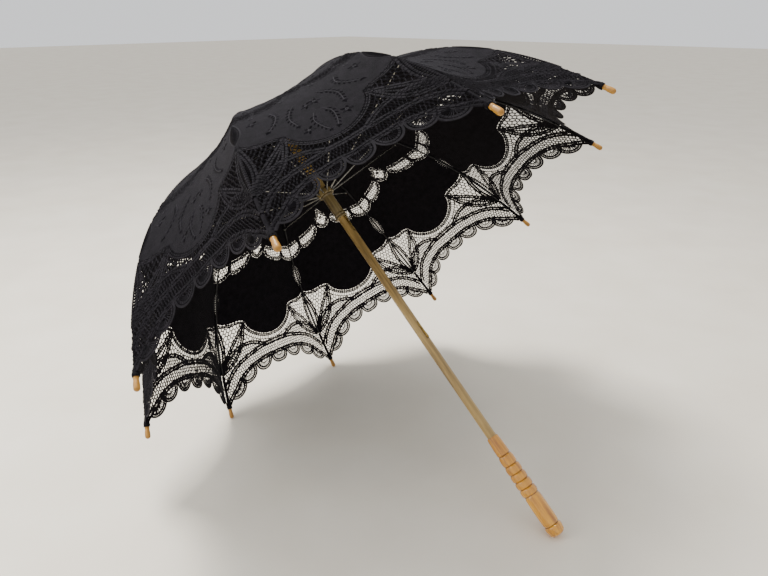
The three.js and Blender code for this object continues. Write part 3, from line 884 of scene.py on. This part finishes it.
HUB_TONES = ((78, 64, 36), (122, 104, 62), (150, 130, 84))
SHAFT_GRAIN = tuple(SHAFT.to_3x3().inverted().to_euler())
HANDLE_WOOD = wood("golden_varnish", (150, 90, 6), (206, 140, 12), (234, 170, 28), 0.24, 1.0)
SHAFT_WOOD = wood("pale_shaft_wood", (114, 91, 48), (160, 130, 73), (190, 159, 97), 0.4, 0.3,
                  SHAFT_GRAIN)
TIP_WOOD = wood("tip_wood", (120, 80, 18), (164, 114, 28), (192, 144, 50), 0.5, 0.15)
HUB_WOOD = wood("hub_wood", *HUB_TONES, 0.38, 0.4, SHAFT_GRAIN)
RUNNER_WOOD = wood("runner_wood", *HUB_TONES, 0.38, 0.4)
# Painted shade: a dark brown laid in thin rings along the handle's grooves, standing in for the
# shadow in them.
GROOVE_SHADE_WOOD = wood("painted_groove_shade", (46, 24, 8), (70, 40, 14), (92, 54, 20), 0.5, 0.2)
RIB_STEEL = metal("japanned_steel", (30, 29, 31), (58, 57, 58), 0.5, 0.7)
WIRE_STEEL = metal("drawn_steel", (112, 110, 106), (170, 168, 162), 0.36)
BRASS = metal("worn_brass", (132, 104, 52), (190, 160, 92), 0.34)
CLOTH_BLACK = woven("black_cloth", (9, 8, 10), (26, 23, 27), 0.85, 0.02, 40, 0.5)
LACE_BLACK = woven("black_lace_thread", (9, 8, 10), (32, 29, 33), 0.75, 0.03, 60, 0.4)
SILK_BLACK = woven("black_silk", (10, 9, 11), (34, 31, 36), 0.6, 0.03, 90, 0.3)


# ---- pieces
def piece(name, vertices, faces, look, body, slot, flat=None, smooth_angle=None):
    """A mesh piece in the row frame that rides a body."""
    data = bpy.data.meshes.new(name)
    data.from_pydata([tuple(v) for v in vertices], [], faces)
    data.update()
    if flat is not None:
        uv = data.uv_layers.new(name="flat")
        corner = np.empty(len(data.loops), int)
        data.loops.foreach_get("vertex_index", corner)
        uv.data.foreach_set("uv", (flat[corner, :2] * 100).astype(np.float32).ravel())
    if smooth_angle is not None:
        data.polygons.foreach_set("use_smooth", np.ones(len(data.polygons), bool))
        data.set_sharp_from_angle(angle=math.radians(smooth_angle))
    data.materials.append(look)
    made = bpy.data.objects.new(name, data)
    bpy.context.scene.collection.objects.link(made)
    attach(made, body)
    return made


def turned(profile, sides):
    """Vertices and faces of a closed turned piece about Z. The profile runs from axis to axis,
    or round a ring and back to its first point."""
    ring = np.hypot(*(np.subtract(profile[0], profile[-1]))) < 1e-9
    rows = profile[:-1] if ring else profile
    f = 2 * math.pi * np.arange(sides) / sides
    vertices, index = [], []
    for r, z in rows:
        if r < 1e-9:
            index.append([len(vertices)] * sides)
            vertices.append((0, 0, z))
        else:
            index.append(list(range(len(vertices), len(vertices) + sides)))
            vertices.extend(zip(r * np.cos(f), r * np.sin(f), np.full(sides, z)))
    faces = []
    for k in range(len(rows) if ring else len(rows) - 1):
        low, high = index[k], index[(k + 1) % len(rows)]
        for s in range(sides):
            t = (s + 1) % sides
            quad = (low[s], low[t], high[t], high[s])
            face = tuple(dict.fromkeys(quad))
            if len(face) > 2:
                faces.append(face)
    return np.array(vertices, float), faces


def turned_piece(name, profile, sides, look, body, slot, place=SHAFT):
    """A closed turned piece about the shaft, or about the Z axis of another place."""
    made = piece(name, *turned(profile, sides), look, "root", slot, smooth_angle=40)
    made.parent = None
    made.matrix_world = place
    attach(made, body)
    return made


def ring_faces(rows, sides):
    """Quads between rows of points that each go round a ring."""
    faces = []
    for k in range(rows - 1):
        for s in range(sides):
            t, a, b = (s + 1) % sides, k * sides, (k + 1) * sides
            faces.append((a + s, b + s, b + t, a + t))
    return faces


def tube(path, radius, sides=10):
    """Vertices and faces of a round closed wire along 3-D points."""
    along = np.gradient(path, axis=0)
    along /= np.linalg.norm(along, axis=1)[:, None]
    up = np.cross(along, np.array([0.3, 0.5, 0.81]))
    up /= np.linalg.norm(up, axis=1)[:, None]
    side = np.cross(along, up)
    f = 2 * math.pi * np.arange(sides)[None, :, None] / sides
    rings = path[:, None] + radius * (np.cos(f) * side[:, None] + np.sin(f) * up[:, None])
    last = (len(path) - 1) * sides
    caps = [tuple(range(sides)), tuple(reversed(range(last, last + sides)))]
    return rings.reshape(-1, 3), ring_faces(len(path), sides) + caps


def outward(vertices, faces):
    """The same faces, turned to face out if they enclose a negative volume."""
    volume = 0.0
    for face in faces:
        a = vertices[face[0]]
        for k in range(1, len(face) - 1):
            volume += float(a @ np.cross(vertices[face[k]], vertices[face[k + 1]]))
    return faces if volume > 0 else [tuple(reversed(face)) for face in faces]


def wire(name, path, radius, look, body, slot, sides=10, smooth_angle=50):
    vertices, faces = tube(path, radius, sides)
    return piece(name, vertices, outward(vertices, faces), look, body, slot,
                 smooth_angle=smooth_angle)


def two_layers(rows, sides):
    """Faces of a thin ring of cloth: two layers of rows round it, joined at both edges."""
    under, last = rows * sides, (rows - 1) * sides
    quads = ring_faces(rows, sides)
    faces = [quad[::-1] for quad in quads] + [tuple(k + under for k in quad) for quad in quads]
    for s in range(sides):
        t = (s + 1) % sides
        faces.append((s, s + under, t + under, t))
        faces.append((last + t, last + t + under, last + s + under, last + s))
    return faces


# ---- wood and metal
def dress_cad_nodes():
    looks = {"rib": RIB_STEEL, "notch_wire": RIB_STEEL, "runner_wire": RIB_STEEL,
             "stop_pin": RIB_STEEL, "stretcher": WIRE_STEEL, "top_catch": BRASS,
             "bottom_catch": BRASS, "top_notch": HUB_WOOD, "runner_crown": HUB_WOOD}
    for node_name, cad_object in frame["nodes"].items():
        look = next((looks[key] for key in looks if node_name.startswith(key)), SHAFT_WOOD)
        cad_object.data.materials.clear()
        cad_object.data.materials.append(look)


dress_cad_nodes()

HANDLE_TOP = HANDLE_LENGTH - HANDLE_REACH
GROOVES = (0, 0.187, 0.29, 0.374, 0.449, 0.523, 0.597, 0.9)  # shares of the handle from its top
GROOVE_DEPTH = 1.3 * MM
GROOVE_WIDTH = 0.006  # share of the handle
# Section radius of the painted shade rings in the grooves.
SHADE_RING_R = 0.42 * MM
HANDLE_NECK_R = 8.6 * MM
HANDLE_R = 11.6 * MM
HANDLE_FILLET = 6 * MM
FILLET_START = 0.955
SOCKET_R = SHAFT_R + 0.1 * MM
SOCKET_DEPTH = 2 * MM


def handle_radius(share):
    swell = math.sin(min(share / 0.75, 1) * math.pi / 2)
    return HANDLE_NECK_R + (HANDLE_R - HANDLE_NECK_R) * swell


def handle_profile():
    """The handle's outline from its rounded end, over its beads, to the shaft's socket."""
    end = handle_radius(1)
    points = [(0, -HANDLE_REACH)]
    for a in np.linspace(0, math.pi / 2, 9):
        points.append((end - HANDLE_FILLET * (1 - math.sin(a)),
                       -HANDLE_REACH + HANDLE_FILLET * (1 - math.cos(a))))
    stops = (FILLET_START, *reversed(GROOVES))
    steps = 14
    for lower, upper in zip(stops, stops[1:]):
        at_end = lower == FILLET_START
        crown = 0.9 * MM if lower - upper < 0.15 else 0.25 * MM
        for f in np.arange(1 if at_end else 0, steps) / steps:
            share = lower + (upper - lower) * f
            reach = min(f, 1 - f) * (lower - upper) / GROOVE_WIDTH
            notch = 0 if at_end and f < 0.5 else GROOVE_DEPTH * math.exp(-reach ** 2)
            radius = handle_radius(share) + crown * math.sin(math.pi * f) - notch
            points.append((radius, HANDLE_TOP - share * HANDLE_LENGTH))
    rim = HANDLE_TOP + 0.2 * MM
    return points + [(HANDLE_NECK_R - 0.4 * MM, rim), (SOCKET_R, rim),
                     (SOCKET_R, HANDLE_TOP - SOCKET_DEPTH), (0, HANDLE_TOP - SOCKET_DEPTH)]


def dress_handle():
    # Painted shade: a thin dark ring at the bottom of each groove stands in for the shadow there.
    for k, share in enumerate(GROOVES[1:]):
        r = handle_radius(share) - GROOVE_DEPTH + 0.12 * MM
        z = HANDLE_TOP - share * HANDLE_LENGTH
        f = np.linspace(0, 2 * math.pi, 13)[::-1]
        profile = [(r + SHADE_RING_R * math.cos(a), z + SHADE_RING_R * math.sin(a)) for a in f[:-1]]
        turned_piece(f"painted_shade_ring_{k + 1}", profile + profile[:1], 64, GROOVE_SHADE_WOOD, "root",
                     "handle_wood")
    handle = turned_piece("turned_handle", handle_profile(), 64, HANDLE_WOOD, "root",
                          "handle_wood")
    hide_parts("handle")


dress_handle()

CLOTH_TOP = DOME + 4.4 * MM
FERRULE_BASE = CLOTH_TOP + 2.4 * MM
FERRULE_LENGTH = 34 * MM
FERRULE_SHAPE = ((9, 0), (9.4, 2), (7.6, 4), (6.8, 6), (7.4, 9), (6.9, 13), (5.4, 22), (4.6, 30),
                 (3.9, 33), (2.6, 34))  # (radius, height) in mm
COLLAR_SHAPE = ((8.6, 0), (9.5, 0.3), (9.8, 1.4), (9.7, 2.8), (8.7, 4.2), (9.3, 5.6), (9.2, 7.2),
                (8.9, 8))
SLEEVE_LOW = COLLAR_Z + COLLAR_LENGTH + 0.3 * MM
SLEEVE_HIGH = RUNNER_Z - 4.3 * MM
SLEEVE_FOOT = ((8.1, 0), (8.3, 0.4))
SLEEVE_HEAD = ((8.3, -3.2), (8.6, -2.4), (9.3, -1.6), (9.4, -0.3), (9.1, 0))


def raised(shape, base):
    """A profile's (radius, height) points in mm, set on a base height."""
    return [(r * MM, base + z * MM) for r, z in shape]


def soft_profile(shape, base, inner, length):
    """A smooth outline that closes on an inner radius at its foot and its head."""
    curved = [(r, base + z) for r, z in catmull_rom(raised(shape, 0), 5)]
    return [(inner, base), *curved, (inner, base + length)]


def dress_ferrule_and_runner():
    ferrule = turned_piece("turned_ferrule",
                           soft_profile(FERRULE_SHAPE, FERRULE_BASE, 0, FERRULE_LENGTH),
                           48, HANDLE_WOOD, "root", "handle_wood")
    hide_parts("ferrule")
    outline = soft_profile(COLLAR_SHAPE, COLLAR_Z, RUNNER_BORE, COLLAR_LENGTH)
    collar = turned_piece("turned_collar", outline + outline[:1], 48, RUNNER_WOOD, "runner",
                          "hub_wood")
    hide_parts("runner_collar")
    low, high = (RUNNER_BORE, SLEEVE_LOW), (RUNNER_BORE, SLEEVE_HIGH)
    outline = [low, *raised(SLEEVE_FOOT, SLEEVE_LOW), *raised(SLEEVE_HEAD, SLEEVE_HIGH), high, low]
    sleeve = turned_piece("turned_runner", outline, 48, RUNNER_WOOD, "runner", "hub_wood")
    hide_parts("runner_sleeve")


dress_ferrule_and_runner()

RIB_SPAN = (0.016, 0.972)  # shares of the rib that its round wire covers
RIB_WIRE_R = 1.36 * MM
STRETCHER_WIRE_R = 1.08 * MM
TIP_LENGTH = 22  # mm, as are the tip's other sizes
TIP_NOSE_R = 3.7
TIP_SHAPE = ((3.75, 4.6), (3.6, 9), (3.2, 12), (3.1, 13.4), (3.3, 15), (3.2, 17), (3.0, 20.5),
             (2.4, TIP_LENGTH))
SLEEVE_SPAN = (0.858, 0.968)  # shares of the rib that the gathered end of the cloth covers
SLEEVE_R = 2.4 * MM
SLEEVE_SWELL = 1.7 * MM  # how much wider it is over the wooden tip
SLEEVE_SIDES = 28
PLEAT_DEPTH = 0.1
TIE_PLACE = 0.9625
TIE_TURNS = 4
TIE_PITCH = 0.0011
TIE_R = 4.3 * MM
TIE_THREAD = 0.34 * MM


def local_to_row(index, points):
    """Points in a rib's own plane (x out, y across, z up the shaft) in the row frame."""
    c, s = math.cos(rib_angle(index)), math.sin(rib_angle(index))
    x, y, z = np.asarray(points, float).T
    return to_row(np.stack([x * c - y * s, x * s + y * c, z], 1))


def around_rib(share, reach, turn):
    """Points at a reach from the rib's centre line, at a turn round it, in the rib's plane."""
    r, z = bow(share)
    nr, nz = bow_normal(share)
    lift, side = reach * np.cos(turn), reach * np.sin(turn)
    return np.stack([r + nr * lift, side, z + nz * lift], -1).reshape(-1, 3)


def tip_profile():
    nose = [(TIP_NOSE_R * math.sin(a), TIP_NOSE_R * (1 - math.cos(a)))
            for a in np.linspace(0.15, math.pi / 2, 7)]
    shape = [(0, 0), *nose, *catmull_rom(TIP_SHAPE, 4), (0, TIP_LENGTH)]
    return raised(shape, 0)


def tip_place(index):
    """The matrix at the end of a rib, with Z back along the rib."""
    tip_r, tip_z = bow(1.0)
    near_r, near_z = bow(0.996)
    angle = rib_angle(index)
    back = Vector(((near_r - tip_r) * math.cos(angle), (near_r - tip_r) * math.sin(angle),
                   near_z - tip_z))
    turn = (SHAFT.to_3x3() @ back.normalized()).to_track_quat("Z", "Y").to_matrix().to_4x4()
    return Matrix.Translation(Vector(local_to_row(index, [[tip_r, 0, tip_z]])[0])) @ turn


def dress_ribs():
    """Round wires over the ribs and stretchers, turned tips, fabric sleeves and their ties."""
    r, z = bow(np.linspace(*RIB_SPAN, 90))
    rib_path = np.stack([r, np.zeros_like(r), z], 1)
    clip_r, clip_z = bow(CLIP_PLACE, -CLIP_DROP)
    start = np.array([PIVOT_R, 0, RUNNER_Z])
    end = np.array([clip_r, STRETCHER_SIDE, clip_z])
    reach = (end - start) / np.linalg.norm(end - start)
    stretcher_path = np.linspace(start + reach * 8 * MM, end, 12)
    for i in range(RIBS):
        n, body = i + 1, f"rib_{i + 1}"
        wire(f"rib_wire_{n}", local_to_row(i, rib_path), RIB_WIRE_R, RIB_STEEL, body, "rib_steel")
        wire(f"stretcher_wire_{n}", local_to_row(i, stretcher_path), STRETCHER_WIRE_R, WIRE_STEEL,
             f"stretcher_{n}", "stretcher_steel")
        tip = turned_piece(f"turned_tip_{n}", tip_profile(), 28, TIP_WOOD, body, "tip_wood",
                           tip_place(i))
        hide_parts(f"rib_tip_{n}")
        gathered_sleeve(i, body)


def gathered_sleeve(index, body):
    """The narrow end of the cloth, gathered round the rib and tied over the wooden tip."""
    share = np.linspace(*SLEEVE_SPAN, 26)
    along = (share - SLEEVE_SPAN[0]) / (SLEEVE_SPAN[1] - SLEEVE_SPAN[0])
    radius = SLEEVE_R + SLEEVE_SWELL * np.clip((share - 0.945) / 0.012, 0, 1)
    f = 2 * math.pi * np.arange(SLEEVE_SIDES) / SLEEVE_SIDES
    pleat = 1 + PLEAT_DEPTH * np.sin(7 * f)[None, :] * (0.4 + 0.6 * along)[:, None]
    outer = radius[:, None] * pleat
    layers = [around_rib(share[:, None], outer - thick, f) for thick in (0, CLOTH_THICK)]
    vertices = local_to_row(index, np.vstack(layers))
    faces = outward(vertices, two_layers(len(share), SLEEVE_SIDES))
    flat = np.column_stack([np.tile(f, 2 * len(share)) * 4 * MM,
                            np.tile(np.repeat(share * BOW_LENGTH, SLEEVE_SIDES), 2)])
    sleeve = piece(f"tip_sleeve_{index + 1}", vertices, faces, CLOTH_BLACK, body, "lace",
                   flat=flat, smooth_angle=60)
    g = np.linspace(0, 2 * math.pi * TIE_TURNS, 22 * TIE_TURNS)
    place = TIE_PLACE + TIE_PITCH * (g / (2 * math.pi) - TIE_TURNS / 2)
    tie = wire(f"tip_tie_{index + 1}", local_to_row(index, around_rib(place, TIE_R, g)),
               TIE_THREAD, SILK_BLACK, body, "lace", 6, 60)


dress_ribs()


# ---- the canopy
# How much of each part's width is kept when the parasol is closed: less towards the edge,
# where ten gores have to share a smaller circle.
CROWN_KEEP = 0.54
RING_KEEP = 0.36
PATCH_KEEP = 0.26
FAN_KEEP = 0.145
ARCH_KEEP = 0.085


def lay_on_rib(index, name, pattern, look, crease):
    """One part of the gore on a rib, which it rides."""
    angle = rib_angle(index)
    flat = np.concatenate(pattern.vertices)
    shown = piece(f"{name}_{index + 1}", drape(flat, angle), pattern.faces, look,
                  f"rib_{index + 1}", "lace", flat=flat, smooth_angle=crease)
    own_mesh(shown)
    return shown


def dress_canopy():
    rows = (
        ("crown_cloth", crown_cloth(), embroidery(CROWN_MOTIFS), CROWN_KEEP,
         (("ring_lace", ring_lace(), RING_KEEP),)),
        ("patch_cloth", patch_cloth(), embroidery(PATCH_MOTIFS), PATCH_KEEP,
         (("fan_lace", edge_lace(fan), FAN_KEEP), ("arch_lace", edge_lace(arches), ARCH_KEEP))),
    )
    for i in range(RIBS):
        for name, (cloth, area), stitches, keep, trims in rows:
            sheet = lay_on_rib(i, name, cloth, CLOTH_BLACK, 45)
            sewn = [lay_on_rib(i, f"{name}_stitching", stitches, SILK_BLACK, 65)]
            sewn += [lay_on_rib(i, trim_name, trim, LACE_BLACK, 65)
                     for trim_name, trim, trim_keep in trims]
            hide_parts(f"canopy_{i + 1}")


dress_canopy()


CAP_HOLE_R = 7.1 * MM
CAP_R = 25.7 * MM
CAP_THICK = 0.7 * MM


def dress_crown():
    """A pleated cap over the middle of the canopy, under the ferrule."""
    sides, rows = 160, 14
    f = 2 * math.pi * np.arange(sides) / sides
    share = np.linspace(0, 1, rows)[:, None]
    r = (CAP_HOLE_R + (CAP_R - CAP_HOLE_R) * share) * (1 + 0.025 * share * np.sin(20 * f))
    ruck = 0.45 * MM * share * np.sin(40 * f + 0.6 * np.sin(3 * f))
    height = FERRULE_BASE - 0.4 * MM - 1.5 * MM * share ** 2 + ruck
    points = np.vstack([np.stack([r * np.cos(f), r * np.sin(f), height - t], -1).reshape(-1, 3)
                        for t in (0, CAP_THICK)])
    vertices = to_row(points)
    cap = piece("pleated_cap", vertices, outward(vertices, two_layers(rows, sides)), CLOTH_BLACK,
                "root", "lace", flat=points, smooth_angle=50)
    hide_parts("crown_cap")


dress_crown()


# ---- floor, light and camera
FLOOR_SIZE = 30.0
CANOPY_MIDDLE = Vector((0, 0, 0.3))
WORLD_COLOUR = (0.86, 0.87, 0.89, 1)
WORLD_STRENGTH = 1.15
CAMERA_PLACE = (0.6066, -0.6750, 0.6531)
CAMERA_TILT = 67.52  # degrees up from straight down
CAMERA_TURN = 42.1  # degrees about +Z from looking along +Y
CAMERA_LENS = 31.07  # mm, on a sensor 36 mm wide


def floor():
    data = bpy.data.meshes.new("floor")
    half = FLOOR_SIZE / 2
    data.from_pydata([(-half, -half, 0), (half, -half, 0), (half, half, 0), (-half, half, 0)],
                     [], [(0, 1, 2, 3)])
    data.materials.append(floor_paper())
    made = bpy.data.objects.new("floor", data)
    bpy.context.scene.collection.objects.link(made)


def area_light(name, place, size, power, colour):
    """A soft square light aimed at the middle of the parasol."""
    data = bpy.data.lights.new(name, "AREA")
    data.size = size
    data.energy = power
    data.color = colour
    made = bpy.data.objects.new(name, data)
    made.location = place
    aim = CANOPY_MIDDLE - Vector(place)
    made.rotation_euler = aim.to_track_quat("-Z", "Y").to_euler()
    bpy.context.scene.collection.objects.link(made)


def light_and_camera():
    area_light("key", (-0.75, -0.2, 2.4), 0.8, 95, (1.0, 0.985, 0.96))
    area_light("fill", (-1.1, -1.9, 1.5), 1.8, 32, (0.95, 0.97, 1.0))
    world = bpy.data.worlds.new("studio")
    world.use_nodes = True
    background = world.node_tree.nodes["Background"]
    background.inputs["Color"].default_value = WORLD_COLOUR
    background.inputs["Strength"].default_value = WORLD_STRENGTH
    bpy.context.scene.world = world
    camera_data = bpy.data.cameras.new("camera")
    camera_data.sensor_width = 36
    camera_data.lens = CAMERA_LENS
    camera = bpy.data.objects.new("camera", camera_data)
    camera.location = CAMERA_PLACE
    camera.rotation_euler = (math.radians(CAMERA_TILT), 0, math.radians(CAMERA_TURN))
    bpy.context.scene.collection.objects.link(camera)
    bpy.context.scene.camera = camera


floor()
light_and_camera()
